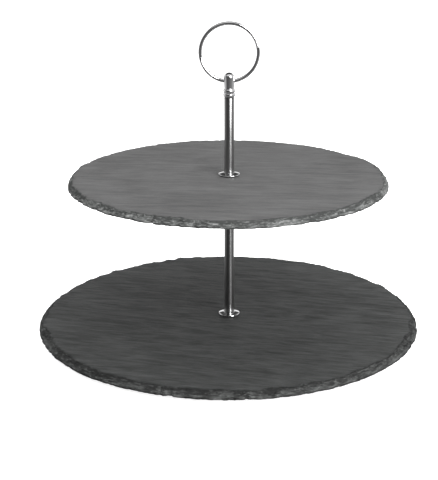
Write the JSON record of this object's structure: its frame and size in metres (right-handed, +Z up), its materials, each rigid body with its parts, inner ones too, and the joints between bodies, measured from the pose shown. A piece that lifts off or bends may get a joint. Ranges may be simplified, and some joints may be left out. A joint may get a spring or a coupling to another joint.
{
  "type": "tiered cake stand",
  "caption": "Tiered cake stand: round slates with chipped edges on a slim screw-together steel pole, with a bullet finial and a wire ring to carry it by.",
  "frame": {"origin": "on the floor plane under the pole's axis, level with the undersides of the feet", "axes": "+Z up along the pole; the ring handle stands in the XZ plane, so +Y and -Y are the sides it faces"},
  "size_m": [0.3024, 0.3024, 0.2423],
  "materials": {
    "slate_lower": "riven natural face, chipped edge",
    "slate_upper": "riven natural face, chipped edge",
    "rod_steel": "fine turned satin",
    "chrome": "polished plate",
    "zinc_steel": "bright zinc plate",
    "foot_rubber": "matt black",
    "gasket": "thin black sheet rubber"
  },
  "bodies": {
    "base": {"lower_plate": "slate_lower", "foot_1": "foot_rubber", "foot_2": "foot_rubber", "foot_3": "foot_rubber", "foot_4": "foot_rubber", "base_gasket": "gasket", "base_washer": "zinc_steel", "base_screw": "zinc_steel", "lower_gasket": "gasket"},
    "lower_swivel": {"lower_flange": "chrome"},
    "lower_pole": {"lower_rod": "rod_steel", "support_flange": "chrome", "support_gasket": "gasket", "upper_plate": "slate_upper", "upper_gasket": "gasket"},
    "upper_swivel": {"upper_flange": "chrome"},
    "upper_pole": {"upper_rod": "rod_steel", "joining_stud": "zinc_steel"},
    "handle_swivel": {"handle_washer": "gasket"},
    "handle": {"finial": "chrome", "finial_stud": "zinc_steel"},
    "ring": {"ring": "chrome"}
  },
  "joints": [
    {"name": "lower_rod_rise", "type": "slide", "parent": "base", "child": "lower_swivel", "axis": [0, 0, 1], "range_m": [0, 0.00961]},
    {"name": "lower_rod_turn", "type": "hinge", "parent": "lower_swivel", "child": "lower_pole", "pos_m": [0, 0, 0.0109], "axis": [0, 0, 1], "range_deg": [0, 4320]},
    {"name": "upper_rod_rise", "type": "slide", "parent": "lower_pole", "child": "upper_swivel", "axis": [0, 0, 1], "range_m": [0, 0.0096]},
    {"name": "upper_rod_turn", "type": "hinge", "parent": "upper_swivel", "child": "upper_pole", "pos_m": [0, 0, 0.1256], "axis": [0, 0, 1], "range_deg": [0, 4322]},
    {"name": "finial_rise", "type": "slide", "parent": "upper_pole", "child": "handle_swivel", "axis": [0, 0, 1], "range_m": [0, 0.008]},
    {"name": "finial_turn", "type": "hinge", "parent": "handle_swivel", "child": "handle", "pos_m": [0, 0, 0.1855], "axis": [0, 0, 1], "range_deg": [0, 3602]},
    {"name": "ring_swing", "type": "hinge", "parent": "handle", "child": "ring", "pos_m": [0, 0, 0.1975], "axis": [1, 0, 0], "range_deg": [-172, 172]}
  ],
  "couplings": [
    {"joint": "lower_rod_rise", "follows": "lower_rod_turn", "m_per_rad": 0.00012732},
    {"joint": "upper_rod_turn", "follows": "upper_rod_rise", "rad_per_m": 7854},
    {"joint": "finial_turn", "follows": "finial_rise", "rad_per_m": 7854}
  ]
}
